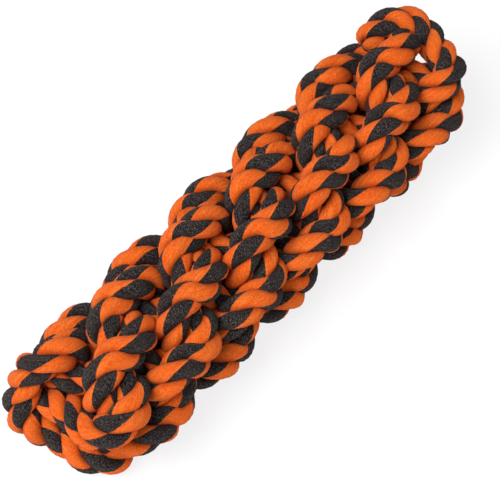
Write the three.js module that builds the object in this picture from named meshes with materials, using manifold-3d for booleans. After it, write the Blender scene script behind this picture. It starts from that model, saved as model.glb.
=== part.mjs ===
// A knotted rope dog toy: two soft ropes, crossed at their middles, are crowned layer upon layer into
// one thick stick. Millimetres, +Z up, the stick lying along X with its start at -X.
import * as THREE from 'three';
import Module from 'manifold-3d';

// Driving dimensions
const ROPE_DIAMETER = 16; // where the rope lies free
const CROWNS = 11; // layers of the knot
const LAYER_TURN = -132; // degrees a strand goes round in one layer, clockwise from the finished end
const ROLL = 77; // degrees: how the stick lies
const TUCK_TURN = 0.05; // how far past the last crown an end is tucked
const REST_FLAT = 0.1 * ROPE_DIAMETER; // pressed flat where it rests

// Soft rope is squeezed thinner where it is pinched
const CROSSING_WIDTH = 0.67 * ROPE_DIAMETER; // inside the knot
const END_WIDTH = 0.74 * ROPE_DIAMETER; // round the stick's ends

// The knot's proportions
const ARCH_RADIUS = 1.765 * ROPE_DIAMETER; // stick's axis to the middle of an arch
const CROSSING_RADIUS = 0.741 * ROPE_DIAMETER; // stick's axis to the middle of a crossing
const SHOULDER = 0.029 * ROPE_DIAMETER; // fills out an arch's shoulders
const ARCH_LEAN = 0.73 * ROPE_DIAMETER; // how far an arch's legs swing to either side
const ARCH_CURL = 0.04 * ROPE_DIAMETER; // tightens that swing
const LAYER_RISE = 1.31 * ROPE_DIAMETER; // one crown to the next
const LEG_DIP = 0.545 * ROPE_DIAMETER; // how far a leg dips below its own crown
const LEG_CURL = 0.173 * ROPE_DIAMETER; // steepens that dip

// Each rope's middle, where the knot was started, placed by hand between the two strands it joins:
// degrees round the stick, then diameters of rope out from its axis and along it
const STARTS = [
  {
    strands: [2, 0],
    turns: [-0.36, -0.44],
    points: [
      [-115, 1.81, -0.58],
      [-133, 1.74, -0.97],
      [-153, 1.55, -1.21],
      [-176, 1.44, -1.56],
      [-202, 1.34, -1.57],
      [-227, 1.3, -1.29],
      [-252, 1.33, -1.15],
      [-275, 1.46, -1.1],
      [-291, 1.7, -0.77],
    ],
  },
  {
    strands: [3, 1],
    turns: [-0.43, -0.38],
    points: [
      [-22, 1.68, -0.74],
      [-22, 1.31, -1.02],
      [-24, 0.82, -1.08],
      [-53, 0.28, -0.95],
      [-167, 0.46, -0.88],
      [-184, 1.01, -0.89],
      [-198, 1.66, -0.63],
    ],
  },
];
const STRANDS = 2 * STARTS.length;

// One end stands loose past the last crown: it comes out again, lies across the stick's end and stops
// outside. Counted from that crown
const LAST = CROWNS - 1;
const LOOSE_END = {
  strand: 3,
  turn: 0.2,
  points: [
    [-149, 1.65, -0.12],
    [-150, 1.77, 0.32],
    [-155, 1.62, 0.65],
    [-170, 1.29, 0.86],
    [-196, 1.13, 1.1],
    [-223, 1.36, 1.18],
    [-238, 1.67, 0.83],
    [-245, 1.73, 0.26],
    [-250, 1.7, -0.27],
  ],
};

// Facets
const SIDES = 8;
const FACET_STEP = 0.42 * ROPE_DIAMETER;
const ROUTE_STEPS = 24; // points to a layer
const MEASURE_STEP = 1.5;

const ORANGE = 0xe8601c;

const { degToRad, lerp } = THREE.MathUtils;

// A place on the stick: degrees round it from straight up, how far out, to the side and along
function place(degrees, out, side, along) {
  const angle = degToRad(degrees + ROLL);
  const y = -side * Math.cos(angle) - out * Math.sin(angle);
  const z = -side * Math.sin(angle) + out * Math.cos(angle);
  return new THREE.Vector3(along, y, z);
}

// A strand's route: over the stick at each half turn, squeezed through its middle at each whole turn
function strandPoint(strand, turn) {
  const phase = 2 * Math.PI * turn;
  const swell = (1 - Math.cos(phase)) / 2;
  const out = lerp(CROSSING_RADIUS, ARCH_RADIUS, swell) + SHOULDER * (1 - Math.cos(2 * phase));
  const side = ARCH_CURL * Math.sin(2 * phase) - ARCH_LEAN * Math.sin(phase);
  const along = LAYER_RISE * turn - LEG_DIP * Math.sin(phase) - LEG_CURL * Math.sin(2 * phase);
  const point = place(LAYER_TURN * turn + (360 * strand) / STRANDS, out, side, along);
  return { point, width: lerp(CROSSING_WIDTH, ROPE_DIAMETER, swell) };
}

// A place set by hand, counted from a crown
function handPoint([degrees, out, along], crown) {
  const x = along * ROPE_DIAMETER + LAYER_RISE * crown;
  return { point: place(degrees + LAYER_TURN * crown, out * ROPE_DIAMETER, 0, x), width: END_WIDTH };
}

// One strand from where its start leaves off to its end
function strandRoute(strand, firstTurn) {
  const loose = strand === LOOSE_END.strand;
  const lastTurn = LAST + (loose ? LOOSE_END.turn : TUCK_TURN);
  const steps = Math.round((lastTurn - firstTurn) * ROUTE_STEPS);
  const route = [];
  for (let i = 0; i <= steps; i += 1) {
    route.push(strandPoint(strand, lerp(firstTurn, lastTurn, i / steps)));
  }
  if (loose) route.push(...LOOSE_END.points.map((point) => handPoint(point, LAST)));
  return route;
}

// One rope: in along a strand, through its start and out along another strand
function ropeRoute({ strands, turns, points }) {
  const inward = strandRoute(strands[0], turns[0]).reverse();
  const outward = strandRoute(strands[1], turns[1]);
  return [...inward, ...points.map((point) => handPoint(point, 0)), ...outward];
}

// Evenly spaced places along a smooth curve through the route
function evenRings(route, step) {
  const curve = new THREE.CatmullRomCurve3(route.map(({ point }) => point), false, 'centripetal');
  curve.arcLengthDivisions = route.length * 12;
  const steps = Math.round(curve.getLength() / step);
  const rings = [];
  for (let i = 0; i <= steps; i += 1) {
    const t = curve.getUtoTmapping(i / steps);
    const spot = t * (route.length - 1);
    const before = Math.min(Math.floor(spot), route.length - 2);
    const width = lerp(route[before].width, route[before + 1].width, spot - before);
    rings.push({ point: curve.getPoint(t), width });
  }
  return rings;
}

function ropeLength(rings) {
  let length = 0;
  for (let i = 1; i < rings.length; i += 1) length += rings[i].point.distanceTo(rings[i - 1].point);
  return length;
}

// A closed tube of flat facets, its rings carried along without twist
function tube(rings) {
  const last = rings.length - 1;
  const tangents = rings.map((ring, i) => {
    const before = rings[Math.max(i - 1, 0)].point;
    const after = rings[Math.min(i + 1, last)].point;
    return after.clone().sub(before).normalize();
  });
  const side = new THREE.Vector3(0, 0, 1).cross(tangents[0]).normalize();
  const positions = [];
  rings.forEach(({ point, width }, i) => {
    side.addScaledVector(tangents[i], -side.dot(tangents[i])).normalize();
    const up = tangents[i].clone().cross(side);
    for (let k = 0; k < SIDES; k += 1) {
      const angle = (2 * Math.PI * k) / SIDES;
      const corner = point.clone();
      corner.addScaledVector(side, (width / 2) * Math.cos(angle));
      corner.addScaledVector(up, (width / 2) * Math.sin(angle));
      positions.push(corner.x, corner.y, corner.z);
    }
  });
  const index = [];
  for (let i = 0; i < last; i += 1) {
    for (let k = 0; k < SIDES; k += 1) {
      const a = i * SIDES + k;
      const b = i * SIDES + ((k + 1) % SIDES);
      index.push(a, b, b + SIDES, a, b + SIDES, a + SIDES);
    }
  }
  for (let k = 1; k < SIDES - 1; k += 1) {
    index.push(0, k + 1, k);
    index.push(last * SIDES, last * SIDES + k, last * SIDES + k + 1);
  }
  return { positions: new Float32Array(positions), index: new Uint32Array(index) };
}

const wasm = await Module();
wasm.setup();
const { Manifold, Mesh } = wasm;

// Cuts the tube flat at the surface it rests on
function restFlat(shape) {
  const mesh = new Mesh({ numProp: 3, vertProperties: shape.positions, triVerts: shape.index });
  const solid = new Manifold(mesh);
  const reach = 3 * CROWNS * LAYER_RISE;
  const floor = -(ARCH_RADIUS + ROPE_DIAMETER / 2 - REST_FLAT);
  const below = Manifold.cube([reach, reach, reach], true).translate([0, 0, floor - reach / 2]);
  return solid.subtract(below);
}

function geometryOf(solid) {
  const mesh = solid.getMesh();
  const geometry = new THREE.BufferGeometry();
  geometry.setAttribute('position', new THREE.BufferAttribute(mesh.vertProperties, 3));
  geometry.setIndex(new THREE.BufferAttribute(mesh.triVerts, 1));
  geometry.computeVertexNormals();
  return geometry;
}

function ropeMesh(name, route) {
  const material = new THREE.MeshStandardMaterial({ color: ORANGE, roughness: 0.92, metalness: 0 });
  const mesh = new THREE.Mesh(geometryOf(restFlat(tube(evenRings(route, FACET_STEP)))), material);
  mesh.name = name;
  return mesh;
}

// The least clear distance between two ropes, or from one to itself past its own bends
function leastGap(first, second) {
  const near = Math.ceil((2 * ROPE_DIAMETER) / MEASURE_STEP);
  let least = Infinity;
  first.forEach((a, i) => {
    second.forEach((b, j) => {
      if (first === second && Math.abs(i - j) < near) return;
      least = Math.min(least, a.point.distanceTo(b.point) - (a.width + b.width) / 2);
    });
  });
  return least.toFixed(2);
}

const routes = STARTS.map(ropeRoute);
const toy = new THREE.Group();
toy.name = 'rope_dog_toy';
toy.add(ropeMesh('rope_first', routes[0]), ropeMesh('rope_second', routes[1]));

// Bottom centre of the whole toy at the origin
const box = new THREE.Box3().setFromObject(toy);
const centre = box.getCenter(new THREE.Vector3());
toy.position.set(-centre.x, -centre.y, -box.min.z);

const [first, second] = routes.map((route) => evenRings(route, MEASURE_STEP));
console.log(`clear, mm: first to itself ${leastGap(first, first)}`);
console.log(`clear, mm: second to itself ${leastGap(second, second)}`);
console.log(`clear, mm: first to second ${leastGap(first, second)}`);
console.log(`lengths, mm: ${ropeLength(first).toFixed(0)}, ${ropeLength(second).toFixed(0)}`);
console.log(`knot's first crown, mm: ${toy.position.toArray().map((place) => place.toFixed(2))}`);

export default toy;
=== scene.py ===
"""A knotted rope dog toy, dressed: each rope as three plies of two-colour yarn along the knot's route."""

import math

import bpy
import numpy as np
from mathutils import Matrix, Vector


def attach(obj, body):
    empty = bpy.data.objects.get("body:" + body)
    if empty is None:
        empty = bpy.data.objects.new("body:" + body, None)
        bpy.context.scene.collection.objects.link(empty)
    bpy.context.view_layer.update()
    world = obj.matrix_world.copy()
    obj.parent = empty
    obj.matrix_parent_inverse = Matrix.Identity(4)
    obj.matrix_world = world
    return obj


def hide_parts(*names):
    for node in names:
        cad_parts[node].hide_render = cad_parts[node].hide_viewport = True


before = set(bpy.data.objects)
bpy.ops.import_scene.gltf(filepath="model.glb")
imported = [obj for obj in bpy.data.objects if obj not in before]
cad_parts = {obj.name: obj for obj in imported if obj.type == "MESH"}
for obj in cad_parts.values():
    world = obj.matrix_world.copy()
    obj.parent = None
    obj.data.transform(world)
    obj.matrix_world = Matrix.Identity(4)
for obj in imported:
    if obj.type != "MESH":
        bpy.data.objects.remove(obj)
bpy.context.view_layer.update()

# The knot, as in the CAD source, in metres
ROPE_DIAMETER = 0.016
CROWNS = 11  # layers of the knot
LAYER_TURN = -132.0  # degrees a strand goes round in one layer
ROLL = 77.0  # degrees: how the stick lies
TUCK_TURN = 0.05  # how far past the last crown an end is tucked
ARCH_RADIUS = 1.765 * ROPE_DIAMETER  # stick's axis to the middle of an arch
CROSSING_RADIUS = 0.741 * ROPE_DIAMETER  # stick's axis to the middle of a crossing
SHOULDER = 0.029 * ROPE_DIAMETER  # fills out an arch's shoulders
ARCH_LEAN = 0.73 * ROPE_DIAMETER  # how far an arch's legs swing to either side
ARCH_CURL = 0.04 * ROPE_DIAMETER  # tightens that swing
LAYER_RISE = 1.31 * ROPE_DIAMETER  # one crown to the next
LEG_DIP = 0.545 * ROPE_DIAMETER  # how far a leg dips below its own crown
LEG_CURL = 0.173 * ROPE_DIAMETER  # steepens that dip
ROUTE_STEPS = 24  # points to a layer
FIRST_CROWN = np.array((-0.10159, 0.00004, 0.03464))  # where the knot's axis begins in the frame

# Soft rope fills the gaps that the solids keep
ARCH_WIDTH = 1.03 * ROPE_DIAMETER
CROSSING_WIDTH = 0.93 * ROPE_DIAMETER
END_WIDTH = 0.97 * ROPE_DIAMETER

# Each rope's middle, between the two strands it joins: degrees round the stick, then diameters of rope
# out from its axis and along it
STARTS = {
    "rope_first": {
        "strands": (2, 0),
        "turns": (-0.36, -0.44),
        "points": (
            (-115, 1.81, -0.58),
            (-133, 1.74, -0.97),
            (-153, 1.55, -1.21),
            (-176, 1.44, -1.56),
            (-202, 1.34, -1.57),
            (-227, 1.3, -1.29),
            (-252, 1.33, -1.15),
            (-275, 1.46, -1.1),
            (-291, 1.7, -0.77),
        ),
    },
    "rope_second": {
        "strands": (3, 1),
        "turns": (-0.43, -0.38),
        "points": (
            (-22, 1.68, -0.74),
            (-22, 1.31, -1.02),
            (-24, 0.82, -1.08),
            (-53, 0.28, -0.95),
            (-167, 0.46, -0.88),
            (-184, 1.01, -0.89),
            (-198, 1.66, -0.63),
        ),
    },
}
STRANDS = 2 * len(STARTS)

# The loose end, counted from the last crown
LAST = CROWNS - 1
LOOSE_STRAND = 3
LOOSE_TURN = 0.2
LOOSE_POINTS = (
    (-149, 1.65, -0.12),
    (-150, 1.77, 0.32),
    (-155, 1.62, 0.65),
    (-170, 1.29, 0.86),
    (-196, 1.13, 1.1),
    (-223, 1.36, 1.18),
    (-238, 1.67, 0.83),
    (-245, 1.73, 0.26),
    (-250, 1.7, -0.27),
)

# The rope's make
PLIES = 3
LAY_LENGTH = 2.15 * ROPE_DIAMETER  # one turn of the plies round the rope
PLY_OFFSET = 0.265  # rope's middle to a ply's, in widths of rope
PLY_THICKNESS = 0.24  # half of a ply, outwards, in widths of rope
PLY_WIDTH = 0.25  # half of a ply, round the rope, in widths of rope
PLY_TWIST = LAY_LENGTH / 2.5  # one turn of a ply's yarns, which so lie along the rope
YARNS = 36  # round a ply
ORANGE_SHARE = 0.56  # of a ply's yarns
COLOUR_PHASES = {"rope_first": 0.0, "rope_second": 0.15}  # turns of a ply where its colours begin
SWELL = 0.035  # how unevenly thick a ply is
SWELL_LENGTH = 2.7 * ROPE_DIAMETER
SWELL_STEP = 0.37  # from one ply to the next
END_ROUNDING = 0.4 * ROPE_DIAMETER  # how far from its cut end a rope is drawn in
END_LEAST = 0.03  # share of that length counted at the cut itself, which keeps some width
TIP_LENGTH = 0.12  # the point that closes a ply, in widths of rope
TIP_OUTWARD = 0.5  # how far that point counts as the ply's outside
FLOOR_CLEARANCE = 0.0003

# Facets
RING_STEP = 0.0014
RING_SIDES = 14
CURVE_STEPS = 8  # between two points of a route

ORANGE = (0.80, 0.099, 0.005, 1.0)
# painted shade: the orange darkened between the yarns, where the ridges dip
ORANGE_PAINTED_YARN_SHADE = (0.50, 0.044, 0.002, 1.0)
ORANGE_PALE = (0.87, 0.27, 0.050, 1.0)
# painted shade: the orange in the grooves between plies
ORANGE_SHADE = (0.26, 0.014, 0.001, 1.0)
ORANGE_LINT = (0.92, 0.43, 0.115, 1.0)
CHARCOAL = (0.0085, 0.0056, 0.0053, 1.0)
# painted shade: the charcoal between the yarns and in the grooves between plies
CHARCOAL_PAINTED_SHADE = (0.003, 0.002, 0.0018, 1.0)
CHARCOAL_PALE = (0.023, 0.0170, 0.0163, 1.0)
CHARCOAL_LINT = (0.36, 0.32, 0.31, 1.0)
WHITE = (1.0, 1.0, 1.0, 1.0)

COTTON = {
    "Roughness": 0.9,
    "Specular IOR Level": 0.08,
    "Sheen Weight": 0.04,
    "Sheen Roughness": 0.3,
    "Sheen Tint": (1.0, 0.8, 0.7, 1.0),
}

# Patterns on the yarns: how fine they are along a metre of ply and round one turn of it
WANDER_GRAIN = (60.0, 2.0)
FIBRE_GRAIN = (900.0, 90.0)
LINT_GRAIN = (1450.0, 100.0)
TONE_RUN = 25.0  # along a metre of one yarn
TONE_STEP = 7.31  # from one yarn to the next
DYE_SCALE = 55.0  # to a metre

# How each pattern is spread: a factor, and what is added to it
PALE_ORANGE = (1.6, -0.65)
PALE_CHARCOAL = (1.8, -0.6)
EVEN_DYE = (1.4, -0.5)
LINT = (7.0, -3.75)
PAINTED_GROOVE_SHADE = (0.8, 0.55)  # painted shade, darkest in the grooves between plies
FIBRE_SHADE = (1.1, 0.45)

WANDER = 0.05  # turns of a ply that its yarns stray
EDGE_SHARPNESS = 60.0  # where the two colours meet
ORANGE_LINT_SHARE = 0.6
CHARCOAL_LINT_SHARE = 0.55
RIDGE_HEIGHT = 0.6
FIBRE_HEIGHT = 0.7
BUMP = {"Strength": 0.8, "Distance": 0.0006}

FLOOR_SIZE = 6.0
FLOOR = {"Base Color": (0.9, 0.9, 0.9, 1.0), "Roughness": 1.0, "Specular IOR Level": 0.0}
FLOOR_WHITE = 0.8  # share of plain white that the camera sees on it
WORLD_LIGHT = 0.2
WORLD_SEEN = 0.9  # the background, to the camera

LIGHTS_AIM = Vector((0.0, 0.0, 0.04))
LIGHTS = {
    "key": {"place": Vector((-0.75, 0.15, 1.25)), "size": 0.9, "power": 31},
    "fill": {"place": Vector((0.5, -1.1, 0.9)), "size": 1.0, "power": 7},
}

# The photograph's viewing angle
CAMERA_AZIMUTH = -49.7
CAMERA_ELEVATION = 59.6
CAMERA_DISTANCE = 0.79
CAMERA_AIM = FIRST_CROWN + (0.0948, -0.0035, 0.0007)
LENS = 128.6
SENSOR = 36.0


def lerp(first, second, share):
    return first + (second - first) * share


def place(degrees, out, side, along, width):
    """A place on the stick: degrees round it from straight up, how far out, to the side and along."""
    angle = math.radians(degrees + ROLL)
    y = -side * math.cos(angle) - out * math.sin(angle)
    z = -side * math.sin(angle) + out * math.cos(angle)
    return (*(FIRST_CROWN + (along, y, z)), width)


def strand_point(strand, turn):
    """A strand's route: over the stick at each half turn, through its middle at each whole turn."""
    phase = 2 * math.pi * turn
    swell = (1 - math.cos(phase)) / 2
    out = lerp(CROSSING_RADIUS, ARCH_RADIUS, swell) + SHOULDER * (1 - math.cos(2 * phase))
    side = ARCH_CURL * math.sin(2 * phase) - ARCH_LEAN * math.sin(phase)
    along = LAYER_RISE * turn - LEG_DIP * math.sin(phase) - LEG_CURL * math.sin(2 * phase)
    width = lerp(CROSSING_WIDTH, ARCH_WIDTH, swell)
    return place(LAYER_TURN * turn + 360 * strand / STRANDS, out, side, along, width)


def hand_point(degrees, out, along, crown):
    """A place given in a list, counted from a crown."""
    x = along * ROPE_DIAMETER + LAYER_RISE * crown
    return place(degrees + LAYER_TURN * crown, out * ROPE_DIAMETER, 0, x, END_WIDTH)


def strand_route(strand, first_turn):
    """One strand from where its start leaves off to its end."""
    loose = strand == LOOSE_STRAND
    last_turn = LAST + (LOOSE_TURN if loose else TUCK_TURN)
    steps = round((last_turn - first_turn) * ROUTE_STEPS)
    route = [strand_point(strand, turn) for turn in np.linspace(first_turn, last_turn, steps + 1)]
    if loose:
        route += [hand_point(*point, LAST) for point in LOOSE_POINTS]
    return route


def rope_route(start):
    """One rope: in along a strand, through its start and out along another strand."""
    inward, outward = (strand_route(*ends) for ends in zip(start["strands"], start["turns"]))
    middle = [hand_point(*point, 0) for point in start["points"]]
    return np.array(inward[::-1] + middle + outward)


def run_length(points):
    steps = np.linalg.norm(np.diff(points, axis=0), axis=1)
    return np.concatenate(((0,), np.cumsum(steps)))


def unit(vectors):
    return vectors / np.linalg.norm(vectors, axis=-1, keepdims=True)


def smooth_points(route):
    """Evenly spaced places, each with its width, on the CAD's kind of curve: a centripetal spline."""
    padded = np.vstack((2 * route[0] - route[1], route, 2 * route[-1] - route[-2]))
    steps = np.diff(padded, axis=0)
    spans = np.sqrt(np.linalg.norm(steps[:, :3], axis=1))[:, None]
    rates = steps / spans
    double_rates = (padded[2:] - padded[:-2]) / (spans[:-1] + spans[1:])
    slopes = rates[:-1] - double_rates + rates[1:]

    leave = (slopes[:-1] * spans[1:-1])[:, None, :]
    arrive = (slopes[1:] * spans[1:-1])[:, None, :]
    start, end = route[:-1, None, :], route[1:, None, :]
    share = np.linspace(0, 1, CURVE_STEPS, endpoint=False)[None, :, None]
    square = 3 * (end - start) - 2 * leave - arrive
    cube = 2 * (start - end) + leave + arrive
    curve = start + leave * share + square * share**2 + cube * share**3
    curve = np.vstack((curve.reshape(-1, 4), route[-1]))
    length = run_length(curve[:, :3])
    wanted = np.linspace(0, length[-1], round(length[-1] / RING_STEP) + 1)
    return np.stack([np.interp(wanted, length, column) for column in curve.T], axis=1)


def rounded_ends(places):
    """Draws the rope in at both of its ends, where it is cut."""
    length = run_length(places[:, :3])
    from_end = np.minimum(length, length[-1] - length) / END_ROUNDING
    draw = np.sqrt(1 - (1 - np.clip(from_end, END_LEAST, 1)) ** 2)
    return np.column_stack((places[:, :3], places[:, 3] * draw))


def carried_directions(points):
    """Two directions across the curve that are carried along it without twist."""
    tangents = unit(np.gradient(points, axis=0))
    across = np.empty_like(points)
    side = np.cross((0.0, 0.0, 1.0), tangents[0])
    for i, tangent in enumerate(tangents):
        side = unit(side - tangent * side.dot(tangent))
        across[i] = side
    return across, np.cross(tangents, across)


def ply_mesh(name, places, ply, colour_phase):
    """One ply: a soft tube that winds round the rope's middle, with its yarns in the UV map."""
    points, width = places[:, :3], places[:, 3:]
    length = run_length(points)
    across, over = carried_directions(points)
    wind = 2 * math.pi * (length / LAY_LENGTH + ply / PLIES)
    outward = np.cos(wind)[:, None] * across + np.sin(wind)[:, None] * over
    swell = np.sin(2 * math.pi * (length / SWELL_LENGTH + SWELL_STEP * ply))
    swell *= np.sin(length / SWELL_LENGTH)
    width = width * (1 + SWELL * swell[:, None])

    middle = points + PLY_OFFSET * width * outward
    tangents = unit(np.gradient(middle, axis=0))
    radial = unit(outward - tangents * np.sum(outward * tangents, axis=1)[:, None])
    around = np.cross(tangents, radial)
    angles = 2 * math.pi * np.arange(RING_SIDES) / RING_SIDES
    rings = middle[:, None, :] + width[:, None, :] * (
        PLY_THICKNESS * np.cos(angles)[None, :, None] * radial[:, None, :]
        + PLY_WIDTH * np.sin(angles)[None, :, None] * around[:, None, :]
    )
    first_tip = middle[0] - TIP_LENGTH * width[0] * tangents[0]
    last_tip = middle[-1] + TIP_LENGTH * width[-1] * tangents[-1]
    vertices = np.vstack((rings.reshape(-1, 3), first_tip, last_tip))
    vertices[:, 2] = np.maximum(vertices[:, 2], FLOOR_CLEARANCE)

    ply_length = run_length(middle)
    yarn = length / PLY_TWIST + ply / PLIES + colour_phase
    count = len(points)
    last = count - 1

    def corner(ring, side):
        """A ring's vertex, with its place in the UV map: run along the ply and turn of its yarns."""
        return ring * RING_SIDES + side % RING_SIDES, (ply_length[ring], side / RING_SIDES + yarn[ring])

    def tip(ring, vertex, side):
        return vertex, (ply_length[ring], (side + 0.5) / RING_SIDES + yarn[ring])

    sides = range(RING_SIDES)
    faces = [
        (corner(i, k), corner(i, k + 1), corner(i + 1, k + 1), corner(i + 1, k))
        for i in range(last)
        for k in sides
    ]
    faces += [(corner(0, k + 1), corner(0, k), tip(0, count * RING_SIDES, k)) for k in sides]
    faces += [(corner(last, k), corner(last, k + 1), tip(last, count * RING_SIDES + 1, k)) for k in sides]

    mesh = bpy.data.meshes.new(name)
    mesh.from_pydata(vertices.tolist(), [], [[vertex for vertex, _ in face] for face in faces])
    yarns = np.array([uv for face in faces for _, uv in face], dtype=np.float32)
    mesh.uv_layers.new(name="yarn").data.foreach_set("uv", yarns.ravel())
    # How far each vertex faces out of the rope; the material paints shade into the grooves between plies
    # from it
    outward_share = np.concatenate((np.tile(np.cos(angles), count), (TIP_OUTWARD, TIP_OUTWARD)))
    mesh.attributes.new("outward", "FLOAT", "POINT").data.foreach_set("value", outward_share)
    mesh.polygons.foreach_set("use_smooth", [True] * len(mesh.polygons))
    mesh.update()
    return mesh


class Graph:
    """The node tree of a material or a world, with short ways to add to it."""

    def __init__(self, owner):
        owner.use_nodes = True
        self.nodes = owner.node_tree.nodes
        self.links = owner.node_tree.links

    def node(self, kind, **settings):
        made = self.nodes.new(kind)
        for key, value in settings.items():
            setattr(made, key, value)
        return made

    def feed(self, socket, value):
        """Links a socket to another node's output, or sets it to a number or a colour."""
        if isinstance(value, bpy.types.NodeSocket):
            self.links.new(value, socket)
        else:
            socket.default_value = value

    def math(self, operation, *values, clamp=False):
        made = self.node("ShaderNodeMath", operation=operation, use_clamp=clamp)
        for socket, value in zip(made.inputs, values):
            self.feed(socket, value)
        return made.outputs[0]

    def times(self, value, factor):
        return self.math("MULTIPLY", value, factor)

    def spread(self, value, factor, addition):
        """A pattern made stronger and moved, held between 0 and 1."""
        return self.math("MULTIPLY_ADD", value, factor, addition, clamp=True)

    def vector(self, x, y):
        made = self.node("ShaderNodeCombineXYZ")
        self.feed(made.inputs["X"], x)
        self.feed(made.inputs["Y"], y)
        return made.outputs[0]

    def noise(self, vector, scale=1.0, detail=2.0, roughness=0.5):
        made = self.node("ShaderNodeTexNoise")
        self.feed(made.inputs["Vector"], vector)
        self.feed(made.inputs["Scale"], scale)
        self.feed(made.inputs["Detail"], detail)
        self.feed(made.inputs["Roughness"], roughness)
        return made.outputs["Fac"]

    def mix(self, share, first, second):
        """Two colours mixed. The sockets go by number, because others on the node have the same names."""
        made = self.node("ShaderNodeMix", data_type="RGBA")
        self.feed(made.inputs[0], share)
        self.feed(made.inputs[6], first)
        self.feed(made.inputs[7], second)
        return made.outputs[2]


def yarn_material(name):
    """Matte cotton: each ply's yarns part orange and part charcoal, with ridges, lint, uneven dye and
    painted shade between the yarns and in the grooves between plies.
    """
    material = bpy.data.materials.new(name)
    graph = Graph(material)
    shader = graph.nodes["Principled BSDF"]
    for socket, value in COTTON.items():
        graph.feed(shader.inputs[socket], value)

    split = graph.node("ShaderNodeSeparateXYZ")
    graph.feed(split.inputs[0], graph.node("ShaderNodeUVMap", uv_map="yarn").outputs[0])
    along, straight_turn = split.outputs[0], split.outputs[1]

    def grain(turn, fineness, **settings):
        along_scale, round_scale = fineness
        vector = graph.vector(graph.times(along, along_scale), graph.times(turn, round_scale))
        return graph.noise(vector, **settings)

    # Yarns wander a little as they run
    stray = graph.math("SUBTRACT", grain(straight_turn, WANDER_GRAIN), 0.5)
    turn = graph.math("ADD", straight_turn, graph.times(stray, WANDER))
    ridges = graph.math("ABSOLUTE", graph.math("SINE", graph.times(turn, math.pi * YARNS)))
    which = graph.math("FLOOR", graph.times(turn, YARNS))

    # The colour changes twice round a ply
    from_middle = graph.math("ABSOLUTE", graph.math("SUBTRACT", graph.math("FRACT", turn), 0.5))
    past_edge = graph.math("SUBTRACT", from_middle, ORANGE_SHARE / 2)
    dark = graph.spread(past_edge, EDGE_SHARPNESS, 0.5)

    # Dye, lint, fibres, and the mask of painted shade in the grooves between plies
    place_in_rope = graph.node("ShaderNodeNewGeometry").outputs["Position"]
    dye = graph.noise(place_in_rope, DYE_SCALE)
    tone = graph.noise(graph.vector(graph.times(which, TONE_STEP), graph.times(along, TONE_RUN)))
    fibre = grain(turn, FIBRE_GRAIN, detail=3.0, roughness=0.65)
    lint = graph.spread(grain(turn, LINT_GRAIN, roughness=0.7), *LINT)
    outward = graph.node("ShaderNodeAttribute", attribute_name="outward").outputs["Fac"]
    painted_groove_shade_mask = graph.spread(outward, *PAINTED_GROOVE_SHADE)

    # Painted shade between the yarns, where the ridges dip
    orange = graph.mix(ridges, ORANGE_PAINTED_YARN_SHADE, ORANGE)
    orange = graph.mix(graph.spread(tone, *PALE_ORANGE), orange, ORANGE_PALE)
    orange = graph.mix(graph.spread(dye, *EVEN_DYE), orange, ORANGE)
    orange = graph.mix(graph.times(lint, ORANGE_LINT_SHARE), orange, ORANGE_LINT)
    # Painted shade in the grooves between plies
    orange = graph.mix(painted_groove_shade_mask, ORANGE_SHADE, orange)

    # Painted shade between the yarns, where the ridges dip
    charcoal = graph.mix(ridges, CHARCOAL_PAINTED_SHADE, CHARCOAL)
    charcoal = graph.mix(graph.spread(tone, *PALE_CHARCOAL), charcoal, CHARCOAL_PALE)
    charcoal = graph.mix(graph.times(lint, CHARCOAL_LINT_SHARE), charcoal, CHARCOAL_LINT)
    # Painted shade in the grooves between plies
    charcoal = graph.mix(painted_groove_shade_mask, CHARCOAL_PAINTED_SHADE, charcoal)

    shaded = graph.node("ShaderNodeHueSaturation")
    graph.feed(shaded.inputs["Color"], graph.mix(dark, orange, charcoal))
    graph.feed(shaded.inputs["Value"], graph.math("MULTIPLY_ADD", fibre, *FIBRE_SHADE))
    graph.feed(shader.inputs["Base Color"], shaded.outputs[0])

    bump = graph.node("ShaderNodeBump")
    for socket, value in BUMP.items():
        graph.feed(bump.inputs[socket], value)
    height = graph.math("ADD", graph.times(ridges, RIDGE_HEIGHT), graph.times(fibre, FIBRE_HEIGHT))
    graph.feed(bump.inputs["Height"], height)
    graph.feed(shader.inputs["Normal"], bump.outputs[0])
    return material


def floor_material(name):
    """Matte and pale, nearly white to the camera, with the toy's shadow on it."""
    material = bpy.data.materials.new(name)
    graph = Graph(material)
    matte = graph.nodes["Principled BSDF"]
    for socket, value in FLOOR.items():
        graph.feed(matte.inputs[socket], value)
    white = graph.node("ShaderNodeEmission")
    to_camera = graph.node("ShaderNodeLightPath").outputs["Is Camera Ray"]
    blend = graph.node("ShaderNodeMixShader")
    graph.feed(blend.inputs[0], graph.times(to_camera, FLOOR_WHITE))
    graph.feed(blend.inputs[1], matte.outputs[0])
    graph.feed(blend.inputs[2], white.outputs[0])
    graph.feed(graph.nodes["Material Output"].inputs["Surface"], blend.outputs[0])
    return material


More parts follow.
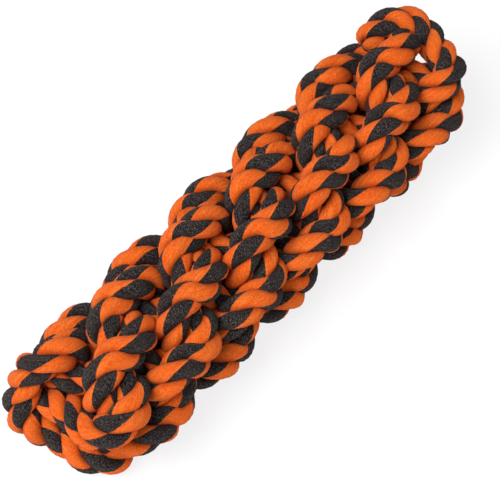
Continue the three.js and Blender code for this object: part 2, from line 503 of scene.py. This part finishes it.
def studio_world(name):
    """Even light from all round, paler where the camera sees it."""
    world = bpy.data.worlds.new(name)
    graph = Graph(world)
    sky = graph.nodes["Background"]
    graph.feed(sky.inputs["Color"], WHITE)
    strength = graph.node("ShaderNodeMapRange")
    graph.feed(strength.inputs["Value"], graph.node("ShaderNodeLightPath").outputs["Is Camera Ray"])
    graph.feed(strength.inputs["To Min"], WORLD_LIGHT)
    graph.feed(strength.inputs["To Max"], WORLD_SEEN)
    graph.feed(sky.inputs["Strength"], strength.outputs["Result"])
    return world


def add_object(name, data):
    made = bpy.data.objects.new(name, data)
    bpy.context.collection.objects.link(made)
    return made


def point_at(made, direction):
    made.rotation_euler = direction.to_track_quat("-Z", "Y").to_euler()


def soft_light(name, place, size, power):
    data = bpy.data.lights.new(name, "AREA")
    data.size = size
    data.energy = power
    light = add_object(name, data)
    light.location = place
    point_at(light, LIGHTS_AIM - place)


def photo_camera(name):
    camera = add_object(name, bpy.data.cameras.new(name))
    turn, lift = math.radians(CAMERA_AZIMUTH), math.radians(CAMERA_ELEVATION)
    back = Vector((math.sin(turn) * math.cos(lift), -math.cos(turn) * math.cos(lift), math.sin(lift)))
    camera.location = Vector(CAMERA_AIM) + CAMERA_DISTANCE * back
    point_at(camera, -back)
    camera.data.lens = LENS
    camera.data.sensor_width = SENSOR
    return camera


# The ropes
cotton = yarn_material("two_colour_cotton")
for rope, start in STARTS.items():
    places = rounded_ends(smooth_points(rope_route(start)))
    for ply in range(PLIES):
        name = f"{rope}_ply_{ply + 1}"
        piece = add_object(name, ply_mesh(name, places, ply, COLOUR_PHASES[rope]))
        piece.data.materials.append(cotton)
        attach(piece, "root")
        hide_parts(rope)

# Floor, light and camera
bpy.ops.mesh.primitive_plane_add(size=FLOOR_SIZE)
floor = bpy.context.object
floor.name = "floor"
floor.data.materials.append(floor_material("pale_floor"))
bpy.context.scene.world = studio_world("studio")
for name, light in LIGHTS.items():
    soft_light(name, **light)
bpy.context.scene.camera = photo_camera("camera")
bpy.context.scene.view_settings.view_transform = "Standard"
